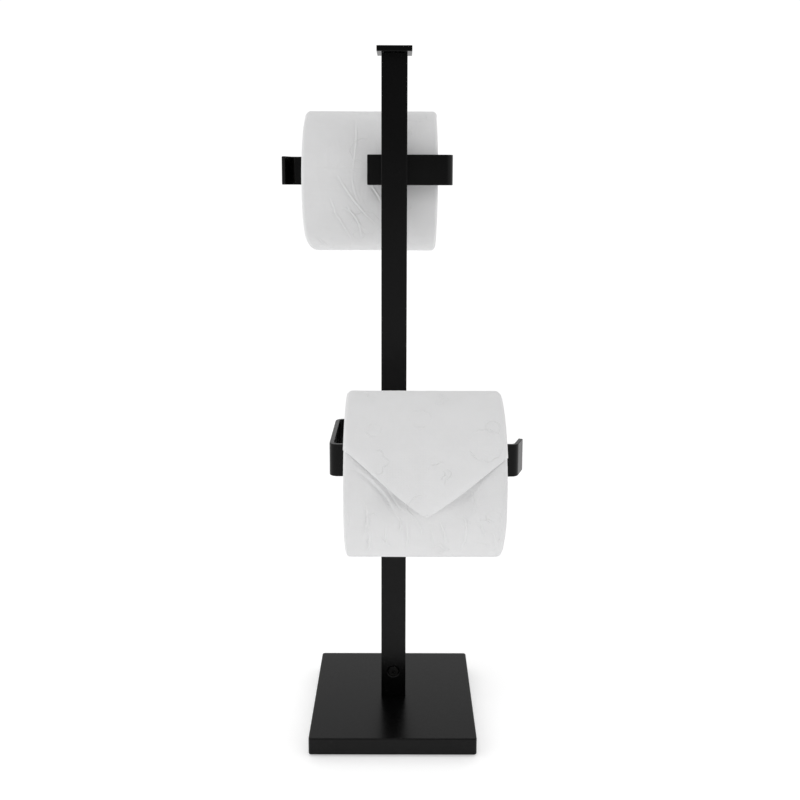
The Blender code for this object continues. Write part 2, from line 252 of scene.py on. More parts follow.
def finish_piece(piece, surface, body, slot, *nodes):
    """Smooth shading with flat faces kept flat, surface, body, and the CAD nodes it stands for; slot is not
    used.
    """
    bpy.ops.object.select_all(action="DESELECT")
    piece.select_set(True)
    bpy.context.view_layer.objects.active = piece
    bpy.ops.object.shade_smooth_by_angle(angle=math.radians(32))
    flats = piece.modifiers.new("flats", "WEIGHTED_NORMAL")
    flats.keep_sharp = True
    bpy.ops.object.modifier_apply(modifier=flats.name)
    piece.data.materials.clear()
    piece.data.materials.append(surface)
    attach(piece, body)
    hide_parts(*nodes)


def powder_coat():
    """Satin black powder coat: a fine orange peel over a slightly uneven sheen."""
    coat, start = make_material("powder_coat")
    place = start.node("TexCoord", output=3)
    peel = start.node("TexNoise", inputs={"Vector": place, "Scale": 900.0, "Detail": 2.0})
    grain = start.node("TexNoise", inputs={"Vector": place, "Scale": 3800.0, "Detail": 1.0})
    drift = start.node("TexNoise", inputs={"Vector": place, "Scale": 26.0, "Detail": 3.0})
    specks = start.node("TexVoronoi", {"feature": "F1"}, {"Vector": place, "Scale": 420.0})
    dust = (1 - specks.between(0.03, 0.10)) * drift.between(0.52, 0.62)
    relief = peel * 0.7 + grain * 0.3
    finish_surface(start, {
        "Base Color": blend_colours(start, dust * 0.35 + drift * 0.15,
                                    (0.0003, 0.0003, 0.0003), (0.006, 0.006, 0.006)),
        "Roughness": 0.22 + drift * 0.06 + grain * 0.04,
        "Specular IOR Level": 0.175,
        "Normal": start.node("Bump", inputs={"Strength": 0.22, "Distance": 0.00004, "Height": relief}),
    })
    return coat


black_coat = powder_coat()
plate_low, plate_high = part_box("base_plate")
plate = add_block("foot_plate", plate_low, plate_high)
ease_edges(plate, 2.0 * MM, 8, is_upright)
ease_edges(plate, 0.9 * MM, 4)
foot_names = [f"foot_{number}" for number in (1, 2, 3, 4)]
screw_names = ["plate_screw_left", "plate_screw_right"]
for foot_name in foot_names:
    foot_low, foot_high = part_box(foot_name)
    middle = (foot_low + foot_high) / 2
    recess_depth = foot_high.z + 0.3 * MM - plate_low.z
    carve(plate, add_drum("recess", (middle.x, middle.y, plate_low.z), foot_high.x - middle.x + 0.3 * MM,
                          2 * recess_depth))
for screw_name in screw_names:
    screw_low, screw_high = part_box(screw_name)
    middle = (screw_low + screw_high) / 2
    carve(plate, add_drum("clearance", (middle.x, middle.y, plate_low.z), 2.3 * MM, 40 * MM))
    carve(plate, add_drum("sink", (middle.x, middle.y, plate_low.z + 0.9 * MM), 5.0 * MM, 3.5 * MM, 1.5 * MM))
finish_piece(plate, black_coat, "stand", "black_coat", "base_plate")


# -------------------------------------------------------------------------------------------------
# Rubber feet: four moulded pads glued into the plate's recesses, each with a chamfered rim and two
# shallow rings in its underside that keep it from sliding.
# -------------------------------------------------------------------------------------------------
def moulded_rubber():
    """Matt black rubber with a faint mould grain and some lint."""
    rubber, start = make_material("moulded_rubber")
    place = start.node("TexCoord", output=3)
    grain = start.node("TexNoise", inputs={"Vector": place, "Scale": 2600.0, "Detail": 3.0})
    bloom = start.node("TexNoise", inputs={"Vector": place, "Scale": 180.0, "Detail": 2.0})
    finish_surface(start, {
        "Base Color": blend_colours(start, bloom.between(0.4, 0.8),
                                    (0.012, 0.012, 0.012), (0.03, 0.03, 0.029)),
        "Roughness": 0.72 + bloom * 0.2,
        "Normal": start.node("Bump", inputs={"Strength": 0.4, "Distance": 0.00005, "Height": grain}),
    })
    return rubber


rubber_surface = moulded_rubber()
for foot_name in foot_names:
    foot_low, foot_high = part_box(foot_name)
    foot_radius = (foot_high.x - foot_low.x) / 2
    pad = add_drum(f"{foot_name}_pad", (foot_low + foot_high) / 2, foot_radius, foot_high.z - foot_low.z,
                   sides=64)
    bpy.ops.object.mode_set(mode="EDIT")
    select_only(pad, "FACE", lambda face: face.normal.z < -0.5)
    bpy.ops.mesh.inset(thickness=0.8 * MM)
    for ring_width, ring_rise in ((1.0 * MM, 0.3 * MM), (1.2 * MM, -0.3 * MM), (1.0 * MM, 0.3 * MM)):
        bpy.ops.mesh.inset(thickness=0.15 * MM)
        bpy.ops.transform.translate(value=(0, 0, ring_rise))
        bpy.ops.mesh.inset(thickness=ring_width)
    bpy.ops.object.mode_set(mode="OBJECT")
    ease_edges(pad, 0.3 * MM, 2, lambda edge: is_sharp(edge) and edge.verts[0].co.xy.length_squared > 0)
    finish_piece(pad, rubber_surface, "stand", "rubber", foot_name)


# -------------------------------------------------------------------------------------------------
# Post: a rectangular steel tube with small corner radii, coated with the plate's black. It slides
# over a spigot and is locked by one countersunk screw low on its front.
# -------------------------------------------------------------------------------------------------
post_low, post_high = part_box("post")
post_wall = 1.5 * MM
post = add_block("post_tube", post_low, post_high)
bpy.ops.object.mode_set(mode="EDIT")
select_only(post, "FACE", lambda face: abs(face.normal.z) > 0.5)
bpy.ops.mesh.delete(type="ONLY_FACE")
bpy.ops.object.mode_set(mode="OBJECT")
ease_edges(post, 0.6 * MM, 5, is_upright)
wall = post.modifiers.new("wall", "SOLIDIFY")
wall.thickness = post_wall
wall.offset = -1
bpy.ops.object.modifier_apply(modifier=wall.name)
lock_low, lock_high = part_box("post_lock_screw")
lock_z = (lock_low.z + lock_high.z) / 2
carve(post, add_drum("clearance", (0, post_low.y, lock_z), 2.3 * MM, 6 * MM, turn=(math.pi / 2, 0, 0)))
carve(post, add_drum("sink", (0, post_low.y + 0.75 * MM, lock_z), 2.55 * MM, 3 * MM, 5.55 * MM,
                     turn=(math.pi / 2, 0, 0)))
finish_piece(post, black_coat, "stand", "black_coat", "post")


# -------------------------------------------------------------------------------------------------
# Cap: a square plate, wider than the post, with a plug that is pressed into the tube's open top.
# -------------------------------------------------------------------------------------------------
cap_low, cap_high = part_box("top_cap")
cap_underside = post_high.z + 0.3 * MM
cap = add_block("cap_plate", (cap_low.x, cap_low.y, cap_underside), cap_high)
ease_edges(cap, 0.45 * MM, 4)
plug_half = Vector((post_high.x - post_wall - 0.3 * MM, post_high.y - post_wall - 0.3 * MM, 0))
plug = add_block("plug", (-plug_half.x, -plug_half.y, cap_low.z),
                 (plug_half.x, plug_half.y, cap_underside + MM))
ease_edges(plug, 0.8 * MM, 2,
           lambda edge: is_sharp(edge) and max(v.co.z for v in edge.verts) < cap_low.z + MM)
carve(cap, plug, "UNION")
finish_piece(cap, black_coat, "stand", "black_coat", "top_cap")


# -------------------------------------------------------------------------------------------------
# Lock screw: an M4 countersunk socket screw in black oxide, flush with the post's front. The plate
# screws underneath are the same and keep their CAD shape; the spigot and the tapped plates inside
# the tube are zinc plated.
# -------------------------------------------------------------------------------------------------
def black_oxide():
    """Dark, slightly oily steel with turning marks."""
    oxide, start = make_material("black_oxide")
    place = start.node("TexCoord", output=3)
    mottling = start.node("TexNoise", inputs={"Vector": place, "Scale": 900.0, "Detail": 4.0})
    scratches = start.node("TexNoise", inputs={"Vector": place, "Scale": 6000.0, "Detail": 2.0})
    finish_surface(start, {
        "Base Color": blend_colours(start, mottling, (0.003, 0.003, 0.003), (0.012, 0.0115, 0.011)),
        "Metallic": 0.3,
        "Roughness": 0.24 + mottling * 0.12,
        "Specular IOR Level": 0.175,
        "Normal": start.node("Bump", inputs={"Strength": 0.25, "Distance": 0.00003, "Height": scratches}),
    })
    return oxide


def zinc_plating():
    """Bright zinc with a cloudy passivation."""
    zinc, start = make_material("zinc_plating")
    place = start.node("TexCoord", output=3)
    clouds = start.node("TexNoise", inputs={"Vector": place, "Scale": 220.0, "Detail": 4.0})
    finish_surface(start, {
        "Base Color": blend_colours(start, clouds, (0.46, 0.47, 0.48), (0.64, 0.63, 0.60)),
        "Metallic": 1.0,
        "Roughness": 0.28 + clouds * 0.2,
        "Normal": start.node("Bump", inputs={"Strength": 0.2, "Distance": 0.00004, "Height": clouds}),
    })
    return zinc


oxide_surface, zinc_surface = black_oxide(), zinc_plating()
for node_name in screw_names:
    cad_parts[node_name].data.materials.clear()
    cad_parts[node_name].data.materials.append(oxide_surface)
for node_name in ("post_spigot", "lower_nut_plate", "upper_nut_plate"):
    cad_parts[node_name].data.materials.clear()
    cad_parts[node_name].data.materials.append(zinc_surface)


def sink_socket(screw, head_top):
    """Sink a 2.5 mm hexagonal socket, with its drilled cone, into a screw that stands on the origin."""
    across_corners = 2.5 * MM / math.sqrt(3)
    carve(screw, add_drum("hexagon", (0, 0, head_top), across_corners, 2.6 * MM, sides=6))
    carve(screw, add_drum("drill_point", (0, 0, head_top - 1.3 * MM), 0.1 * MM, 0.8 * MM, 1.2 * MM, sides=32))


def lay_down(screw, place, turn):
    """Turn a screw that was made standing at the origin and put it in its hole."""
    bpy.ops.object.select_all(action="DESELECT")
    screw.select_set(True)
    bpy.context.view_layer.objects.active = screw
    screw.location = place
    screw.rotation_euler = turn
    bpy.ops.object.transform_apply(location=True, rotation=True, scale=True)


sunk_screw = add_drum("lock_screw", (0, 0, -0.1 * MM), 3.75 * MM, 0.2 * MM, sides=64)
bpy.ops.object.mode_set(mode="EDIT")
select_only(sunk_screw, "FACE", lambda face: face.normal.z < -0.5)
for run, width in ((1.75 * MM, 2.0 / 3.75), (5.6 * MM, 1.0), (0.4 * MM, 0.8)):
    bpy.ops.mesh.extrude_region_move(TRANSFORM_OT_translate={"value": (0, 0, -run)})
    bpy.ops.transform.resize(value=(width, width, 1))
bpy.ops.object.mode_set(mode="OBJECT")
ease_edges(sunk_screw, 0.08 * MM, 2, lambda edge: is_sharp(edge) and edge.verts[0].co.z > -MM)
sink_socket(sunk_screw, 0.0)
lay_down(sunk_screw, (0, lock_low.y, lock_z), (math.pi / 2, 0, 0))
finish_piece(sunk_screw, oxide_surface, "stand", "black_screw", "post_lock_screw")


# -------------------------------------------------------------------------------------------------
# Arms: 22 x 3 mm flat bar, bent cold to one shape and coated. The leg on the post is drilled for
# two screws, the outer leg reaches away, the long leg carries the roll and its end is turned in as
# a lip. The upper arm is the lower one turned half round and fixed to the post's back.
# -------------------------------------------------------------------------------------------------
bar_low, bar_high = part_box("lower_arm")
bar_thickness = 3 * MM
bend_radius = 4 * MM
stub_end = 19.8 * MM
lip_length = 12.5 * MM
first_block = 2 * MM
post_leg_y = post_low.y - 0.3 * MM - bar_thickness / 2
outer_leg_x = bar_low.x + bar_thickness / 2
roll_leg_y = bar_low.y + bar_thickness / 2
lip_bend_x = 79 * MM
bar = add_block("lower_bar", (stub_end - first_block, post_leg_y - bar_thickness / 2, bar_low.z),
                (stub_end, post_leg_y + bar_thickness / 2, bar_high.z))
bpy.ops.object.mode_set(mode="EDIT")
select_only(bar, "FACE", lambda face: face.normal.x < -0.5)
quarter = math.pi / 2
spot, heading = Vector((stub_end - first_block, post_leg_y, 0)), math.pi
for run_end, bend in (((outer_leg_x + bend_radius, post_leg_y), quarter),
                      ((outer_leg_x, roll_leg_y + bend_radius), quarter),
                      ((lip_bend_x, roll_leg_y), math.radians(70)),
                      (None, 0)):
    along = Vector((math.cos(heading), math.sin(heading), 0))
    run = Vector((*run_end, 0)) - spot if run_end else lip_length * along
    bpy.ops.mesh.extrude_region_move(TRANSFORM_OT_translate={"value": run})
    spot += run
    if bend:
        centre = spot + bend_radius * Vector((-along.y, along.x, 0))
        bpy.ops.mesh.spin(steps=round(18 * bend / quarter), angle=-bend, center=centre, axis=(0, 0, 1))
        spot = centre + Matrix.Rotation(bend, 3, "Z") @ (spot - centre)
        heading += bend
bpy.ops.mesh.select_all(action="SELECT")
bpy.ops.mesh.remove_doubles(threshold=0.001 * MM)
bpy.ops.mesh.normals_make_consistent(inside=False)
bpy.ops.object.mode_set(mode="OBJECT")


def is_end_corner(edge):
    """The short edges at the bar's two cut ends, as long as the bar is thick."""
    return is_sharp(edge) and abs(edge.calc_length() - bar_thickness) < 0.01 * MM


ease_edges(bar, 0.9 * MM, 4, is_end_corner)
ease_edges(bar, 0.45 * MM, 3)
bar_middle = (bar_low.z + bar_high.z) / 2
screw_rise = 6 * MM
for rise in (-screw_rise, screw_rise):
    carve(bar, add_drum("drilled", (0, post_leg_y, bar_middle + rise), 2.3 * MM, 10 * MM,
                        turn=(math.pi / 2, 0, 0)))


def half_turned_copy(piece, name, lift):
    """A copy with its own mesh, turned half round the post and lifted."""
    copy = bpy.data.objects.new(name, piece.data.copy())
    copy.data.name = name
    bpy.context.scene.collection.objects.link(copy)
    copy.data.transform(Matrix.Translation((0, 0, lift)) @ Matrix.Rotation(math.pi, 4, "Z"))
    return copy


arm_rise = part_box("upper_arm")[0].z - bar_low.z
upper_bar = half_turned_copy(bar, "upper_bar", arm_rise)
finish_piece(bar, black_coat, "stand", "black_coat", "lower_arm")
finish_piece(upper_bar, black_coat, "stand", "black_coat", "upper_arm")

button = add_drum("button_screw", (0, 0, 0.3 * MM), 3.8 * MM, 0.6 * MM, sides=64)
bpy.ops.object.mode_set(mode="EDIT")
select_only(button, "FACE", lambda face: face.normal.z > 0.5)
for run, width in ((0.6 * MM, 0.93), (0.5 * MM, 0.86), (0.35 * MM, 0.80), (0.15 * MM, 0.86)):
    bpy.ops.mesh.extrude_region_move(TRANSFORM_OT_translate={"value": (0, 0, run)})
    bpy.ops.transform.resize(value=(width, width, 1))
select_only(button, "FACE", lambda face: face.normal.z < -0.5)
bpy.ops.mesh.inset(thickness=1.8 * MM)
bpy.ops.mesh.extrude_region_move(TRANSFORM_OT_translate={"value": (0, 0, -8 * MM)})
bpy.ops.object.mode_set(mode="OBJECT")
sink_socket(button, 2.2 * MM)
for place_name, rise in (("bottom", -screw_rise), ("top", screw_rise)):
    screw = bpy.data.objects.new(f"lower_screw_{place_name}", button.data.copy())
    bpy.context.scene.collection.objects.link(screw)
    lay_down(screw, (0, post_leg_y - bar_thickness / 2 - 0.3 * MM, bar_middle + rise), (quarter, 0, 0))
    upper_screw = half_turned_copy(screw, f"upper_screw_{place_name}", arm_rise)
    finish_piece(screw, oxide_surface, "stand", "black_screw", f"lower_arm_screw_{place_name}")
    finish_piece(upper_screw, oxide_surface, "stand", "black_screw", f"upper_arm_screw_{place_name}")
bpy.data.objects.remove(button)


# -------------------------------------------------------------------------------------------------
# Roll cores: tubes wound from a strip of grey-brown board, with the strip's spiral seam showing
# inside. They hang on the arms' long legs.
# -------------------------------------------------------------------------------------------------
def wound_board(tube_radius, tube_length):
    """Cardboard with short fibres and a spiral seam; the UV map is the unrolled tube, 0 to 1."""
    board, start = make_material("wound_board")
    unrolled = start.node("Mapping", inputs={"Vector": start.node("TexCoord", output=2),
                                             "Scale": (math.tau * tube_radius, 2 * tube_length, 1)})
    fibres = start.node("TexNoise", inputs={"Vector": unrolled, "Scale": 700.0, "Detail": 6.0,
                                            "Distortion": 1.0})
    round_it = start.node("SeparateXYZ", inputs={0: unrolled}, output=0)
    along_it = start.node("SeparateXYZ", inputs={0: unrolled}, output=1)
    strip_pitch = math.tau * tube_radius / 3
    seam = start.math("PINGPONG", along_it + round_it * 0.3333, strip_pitch / 2).between(0.0, 0.0006)
    finish_surface(start, {
        "Base Color": blend_colours(start, fibres * 0.8 + (1 - seam) * 0.6,
                                    (0.47, 0.38, 0.28), (0.27, 0.20, 0.14)),
        "Roughness": 0.86 + fibres * 0.1,
        "Normal": start.node("Bump", inputs={"Strength": 0.6, "Distance": 0.00015,
                                             "Height": fibres * 0.4 + seam}),
    })
    return board


core_low, core_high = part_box("lower_roll_core")
core_radius = (core_high.z - core_low.z) / 2
core_length = core_high.x - core_low.x
core_wall = 1 * MM
board_surface = wound_board(core_radius, core_length)
for roll_name in ("lower_roll", "upper_roll"):
    core_low, core_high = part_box(f"{roll_name}_core")
    bpy.ops.object.select_all(action="DESELECT")
    bpy.ops.mesh.primitive_cylinder_add(vertices=96, radius=core_radius, depth=core_length,
                                        end_fill_type="NOTHING", location=(core_low + core_high) / 2,
                                        rotation=(0, quarter, 0))
    core = bpy.context.object
    core.name = core.data.name = f"{roll_name}_board_tube"
    bpy.ops.object.transform_apply(location=True, rotation=True, scale=True)
    wall = core.modifiers.new("wall", "SOLIDIFY")
    wall.thickness = core_wall
    wall.offset = -1
    bpy.ops.object.modifier_apply(modifier=wall.name)
    ease_edges(core, 0.25 * MM, 2)
    finish_piece(core, board_surface, roll_name, "cardboard", f"{roll_name}_core")


# -------------------------------------------------------------------------------------------------
# Wound paper: many turns of soft embossed tissue on each core. The outer turns are dented and
# creased by handling, the ends show the turns' edges, and their rims are slightly rounded.
# -------------------------------------------------------------------------------------------------
def tissue():
    """White tissue: crepe, tiny pressed dots, rows of rings and flowers, a perforated line every
    sheet, and the edges of the turns at a roll's ends. The UV map is the unrolled web in metres."""
    paper, start = make_material("tissue")
    flat = start.node("TexCoord", output=2)
    across = start.node("SeparateXYZ", inputs={0: flat}, output=0)
    down = start.node("SeparateXYZ", inputs={0: flat}, output=1)
    crepe = start.node("TexNoise", {"noise_dimensions": "2D"}, {
        "Vector": start.node("Mapping", inputs={"Vector": flat, "Scale": (420, 1900, 1)}),
        "Scale": 1.0, "Detail": 3.0})
    turns = start.node("TexNoise", {"noise_dimensions": "2D"}, {
        "Vector": start.node("Mapping", inputs={"Vector": flat, "Scale": (3600, 22, 1)}),
        "Scale": 1.0, "Detail": 2.0})
    dot_step = math.tau / (1.9 * MM)
    dots = start.math("SINE", (across + down) * dot_step) * start.math("SINE", (across - down) * dot_step)
    row_pitch = 57 * MM
    pressed_line = 0.6 * MM
    rings = 0
    for x, y, ring_radius, petals in ((37, 52, 10.5, 0), (42, 40, 4.5, 0), (8, 70, 6.5, 5), (8, 70, 3.5, 5),
                                      (-3, 33, 7.0, 0), (-30, 63, 6.5, 5), (-32, 42, 4.5, 0)):
        right = across - x * MM
        below = start.math("WRAP", down - y * MM, row_pitch / 2, -row_pitch / 2)
        wave = start.math("COSINE", start.math("ARCTAN2", below, right) * (petals or 9))
        wavy_radius = ring_radius * MM * (1 + (0.16 if petals else 0.03) * wave)
        off_ring = start.math("ABSOLUTE", start.math("SQRT", right * right + below * below) - wavy_radius)
        rings = rings + (1 - off_ring.between(0.0, pressed_line))
    worn = start.node("TexNoise", {"noise_dimensions": "2D"}, {"Vector": flat, "Scale": 60.0, "Detail": 2.0})
    from_tear = start.math("PINGPONG", down - first_tear, sheet_pitch / 2)
    perforation = 1 - from_tear.between(0.15 * MM, 0.5 * MM)
    clouds = start.node("TexNoise", {"noise_dimensions": "2D"}, {
        "Vector": flat, "Scale": 55.0, "Detail": 4.0})
    at_end = start.node("Attribute", {"attribute_name": "at_end"}, output=2)
    bright = start.node("Attribute", {"attribute_name": "bright"}, output=2)
    pattern = rings * worn.between(0.36, 0.6) * 2.0 - perforation * 0.7
    face_relief = (crepe * 0.75 + dots * 0.4 + pattern) * (1 - at_end)
    # Painted light: the last sheet's stored bright share gives it a painted lighter tone towards its tip and
    # a painted highlight along its folded edges; the wound paper, which has no such share, is painted a shade
    # darker.
    shade = turns.between(0.35, 0.75) * at_end * 0.8 + clouds.between(0.35, 0.7) * 0.08 + (1 - bright) * 0.25
    finish_surface(start, {
        "Base Color": blend_colours(start, shade, (0.87, 0.87, 0.875), (0.70, 0.70, 0.70)),
        "Roughness": 0.93,
        "Specular IOR Level": 0.2,
        "Sheen Weight": 0.15,
        "Normal": start.node("Bump", inputs={"Strength": 0.6, "Distance": 0.00022,
                                             "Height": face_relief + turns * at_end * 1.2}),
    })
    return paper


def soft_noise(points, grain_size, start):
    """Smooth noise of one grain size at each point, about -1 to 1."""
    return np.array([noise.noise(Vector(point)) for point in points / grain_size + start])


def on_roll(roll, along, angle, radius):
    """Places round a roll: along its axis, turned from its top towards its outer side, and out."""
    outward = roll["outward"]
    return np.stack([roll["centre"].x - outward * along, roll["centre"].y + outward * radius * np.sin(angle),
                     roll["centre"].z + radius * np.cos(angle)], axis=1)


def crease(along, arc, curve, height, width, furrow):
    """A thin raised fold with a furrow on one side, along a curve through three (mm, degree) points."""
    first, middle, last = (np.array((x * MM, math.radians(angle) * roll_radius)) for x, angle in curve)
    control = 2 * middle - (first + last) / 2
    nearest = np.full(along.shape, 1.0)
    beside, share = np.zeros(along.shape), np.zeros(along.shape)
    for step in np.linspace(0, 1, 30):
        point = (1 - step) ** 2 * first + 2 * step * (1 - step) * control + step ** 2 * last
        heading = (1 - step) * (control - first) + step * (last - control)
        heading = heading / np.hypot(*heading)
        right, below = along - point[0], arc - point[1]
        distance = np.hypot(right, below)
        nearer = distance < nearest
        nearest[nearer] = distance[nearer]
        beside[nearer] = (heading[0] * below - heading[1] * right)[nearer]
        share[nearer] = step
    fade = np.sin(math.pi * share) ** 0.7 * np.exp(-np.maximum(nearest - 6 * width * MM, 0) / MM)
    beside = beside / (width * MM)
    return MM * fade * (height * np.exp(-beside ** 2) - furrow * np.exp(-((beside - 1.8) / 1.4) ** 2))


def paper_relief(roll, along, angle):
    """How far the paper's surface stands out from a true cylinder."""
    arc = angle * roll_radius
    places = on_roll(roll, along, angle, np.full(along.shape, roll_radius))
    slack = soft_noise(places, 45 * MM, roll["outward"] * 7.3) * 0.2 * MM
    stretched = places * np.array((1.0, 0.45, 0.45))
    folds = np.maximum(1 - np.abs(soft_noise(stretched, 11 * MM, 3.1)) * 7, 0) ** 2 * 0.12 * MM
    patches = np.clip(soft_noise(places, 26 * MM, 11.7) * 1.6 + 0.5, 0.15, 1)
    relief = slack + folds * patches
    for curve, height, width, furrow in roll["creases"]:
        relief += crease(along, arc, curve, height, width, furrow)
    for x, dent_angle, dent_width, dent_length, depth in roll["dents"]:
        right = (along - x * MM) / (dent_width * MM)
        below = (arc - math.radians(dent_angle) * roll_radius) / (dent_length * MM)
        relief -= depth * MM * np.exp(-right ** 2 - below ** 2)
    return relief


def grid_piece(name, columns, rows):
    """A flat grid to be wrapped, with each vertex's column and row."""
    bpy.ops.object.select_all(action="DESELECT")
    bpy.ops.mesh.primitive_grid_add(x_subdivisions=columns, y_subdivisions=rows, size=1)
    piece = bpy.context.object
    piece.name = piece.data.name = name
    flat = np.zeros(len(piece.data.vertices) * 3)
    piece.data.vertices.foreach_get("co", flat)
    flat = flat.reshape(-1, 3)
    return piece, np.rint((flat[:, 0] + 0.5) * columns), np.rint((flat[:, 1] + 0.5) * rows)


def wrap(piece, places, unrolled):
    """Move a grid's vertices to their places and lay its UV map out as the unrolled sheet, in metres."""
    mesh = piece.data
    mesh.vertices.foreach_set("co", places.ravel())
    corner = np.zeros(len(mesh.loops), dtype=int)
    mesh.loops.foreach_get("vertex_index", corner)
    mesh.uv_layers.active.data.foreach_set("uv", unrolled[corner].ravel())
    mesh.update()


def mark(piece, name, values):
    """Store one number for each vertex under a name that the paper's surface reads."""
    piece.data.attributes.new(name, "FLOAT", "POINT").data.foreach_set("value", values.astype(np.float32))


paper_low, paper_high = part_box("lower_roll_paper")
roll_radius = (paper_high.z - paper_low.z) / 2
roll_half = (paper_high.x - paper_low.x) / 2
bore_radius = core_radius + 0.3 * MM
rim_rounding = 2.5 * MM
sheet_pitch = 117 * MM
first_tear = 39 * MM
tissue_surface = tissue()
# Rim wear is (end, worst degree, mm, spread in degrees). A crease is a curve of (mm, degree) points with
# its height, width and furrow. A dent is (mm, degree, width, length, depth). Sizes are in mm.
rolls = [
    {"name": "lower_roll", "outward": -1, "web_shift": (0, 0), "fine_turn": 1.38,
     "rim_wear": ((1, 130, 1.5, 40),),
     "creases": (
        (((-45, 68), (-29, 81), (-17, 101)), 0.12, 0.8, 0.9),
        (((-37, 91), (-35, 103), (-38, 118)), 0.6, 0.6, 0.6),
        (((-47.5, 97), (-47, 103), (-47.5, 109)), 0.4, 0.6, 0.6),
        (((-11, 103), (-10.5, 120), (-11.5, 138)), 0.5, 0.5, 0.3),
        (((-7, 100), (-3, 109), (-1.5, 118)), 0.4, 0.5, 0.3),
        (((9, 103), (12, 114), (14, 126)), 0.5, 0.5, 0.3),
        (((20, 100), (26, 110), (22, 137)), 0.5, 0.5, 0.3),
        (((33, 102), (35, 109), (38, 117)), 0.4, 0.5, 0.3),
        (((-34, 110), (-34, 125), (-37, 144)), 0.45, 0.6, 0.35),
        (((41, 112), (45, 124), (42, 142)), 0.4, 0.6, 0.3),
        (((-22, 105), (-24, 118), (-21, 134)), 0.35, 0.5, 0.3),
        (((-18, 100), (-15, 106), (-16, 114)), 0.5, 0.5, 0.5),
        (((-24, 80), (-18, 92), (-12, 99)), 0.15, 0.5, 0.3),
        (((2, 104), (5, 116), (6, 130)), 0.3, 0.5, 0.25),
        (((28, 84), (31, 92), (30, 101)), 0.3, 0.5, 0.3)),
     "dents": ((-19, 88, 11, 10, 4.2), (27, 88, 10, 10, 3.4))},
    {"name": "upper_roll", "outward": 1, "web_shift": (33, 114), "fine_turn": -1.2,
     "rim_wear": ((1, -172, 5.5, 26), (-1, -165, 1.5, 30)),
     "creases": (
        (((11.5, -24), (10, -56), (12.5, -83)), 0.35, 0.6, 0.2),
        (((12.5, -81), (11.5, -94), (6, -112)), 0.3, 0.6, 0.15),
        (((24, -83), (11, -105), (-6, -127)), 0.5, 0.6, 0.35),
        (((21, -110), (10, -120), (6.5, -142)), 0.5, 0.6, 0.3),
        (((27, -112), (20, -126), (14, -143)), 0.45, 0.6, 0.3),
        (((-1, -92), (-5, -98), (-10, -107)), 0.45, 0.6, 0.4),
        (((41, -139), (37, -147), (33, -155)), 0.5, 0.6, 0.6),
        (((31, -157), (29.5, -161), (28, -165)), 0.5, 0.6, 0.6),
        (((16, -108), (12, -118), (2, -134)), 0.3, 0.5, 0.2),
        (((30, -100), (26, -112), (24, -124)), 0.25, 0.5, 0.2)),
     "dents": ((3, -104, 16, 22, 0.9),)},
]
rows_round = 410
bore_steps, face_steps, rim_steps, outside_steps = 5, 22, 6, 180
for roll in rolls:
    paper_low, paper_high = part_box(f"{roll['name']}_paper")
    roll["centre"] = (paper_low + paper_high) / 2
    steps = (bore_steps, face_steps, rim_steps, outside_steps, rim_steps, face_steps)
    parts = np.cumsum((0, *steps))
    roll["paper"], column, row = grid_piece(f"{roll['name']}_wound_paper", int(parts[-1]), rows_round)
    turn = row / rows_round * math.tau - math.pi
    angle = turn - 0.5 * (np.sin(turn - roll["fine_turn"]) - math.sin(roll["fine_turn"]))
    part = np.minimum(np.searchsorted(parts, column, side="right") - 1, len(steps) - 1)
    share = (column - parts[part]) / np.array(steps)[part]
    end = np.where(part < 3, -1, 1)
    rim = np.full(angle.shape, rim_rounding)
    for worn_end, worst_angle, wear, spread in roll["rim_wear"]:
        away = (np.degrees(angle) - worst_angle + 180) % 360 - 180
        rim += np.where(end == worn_end, wear * MM * np.exp(-(away / spread) ** 2), 0)
    shoulder = roll_radius - rim
    rim_turn = np.where(part == 2, 1 - share, share) * quarter
    along = np.select(
        [part == 0, (part == 1) | (part == 5), (part == 2) | (part == 4)],
        [(1 - 2 * share) * roll_half, end * roll_half, end * (roll_half - rim * (1 - np.sin(rim_turn)))],
        (2 * share - 1) * (roll_half - rim))
    radius = np.select(
        [part == 0, part == 1, part == 5, (part == 2) | (part == 4)],
        [bore_radius + 0 * share, bore_radius + (shoulder - bore_radius) * share,
         shoulder + (bore_radius - shoulder) * share, shoulder + rim * np.cos(rim_turn)],
        roll_radius)
    depth_in = np.clip((radius - bore_radius) / (roll_radius - bore_radius), 0, 1)
    skin = depth_in ** 6
    at_end = ((part == 1) | (part == 5)).astype(float)
    rings = on_roll(roll, end * roll_half, angle, radius)
    uneven = soft_noise(rings, 16 * MM, 5.5) * 0.35 * MM
    uneven += np.sin(radius / (2.9 * MM) * math.tau - angle) * 0.12 * MM
    uneven += soft_noise(rings, 2.4 * MM, 8.5) * 0.12 * MM
    along += end * np.where(part == 3, 0, np.minimum(uneven, 0.3 * MM)) * np.sin(math.pi * depth_in) ** 0.5
    radius += paper_relief(roll, along, angle) * skin
    flat_across = along + end * (roll_radius - radius)
    unrolled = np.stack([flat_across, angle * roll_radius], axis=1) + np.array(roll["web_shift"]) * MM
    wrap(roll["paper"], on_roll(roll, along, angle, radius), unrolled)
    mark(roll["paper"], "at_end", at_end)
    bpy.ops.object.mode_set(mode="EDIT")
    bpy.ops.mesh.select_all(action="SELECT")
    bpy.ops.mesh.remove_doubles(threshold=0.001 * MM)
    bpy.ops.mesh.normals_make_consistent(inside=False)
    bpy.ops.object.mode_set(mode="OBJECT")
    finish_piece(roll["paper"], tissue_surface, roll["name"], "tissue", f"{roll['name']}_paper")


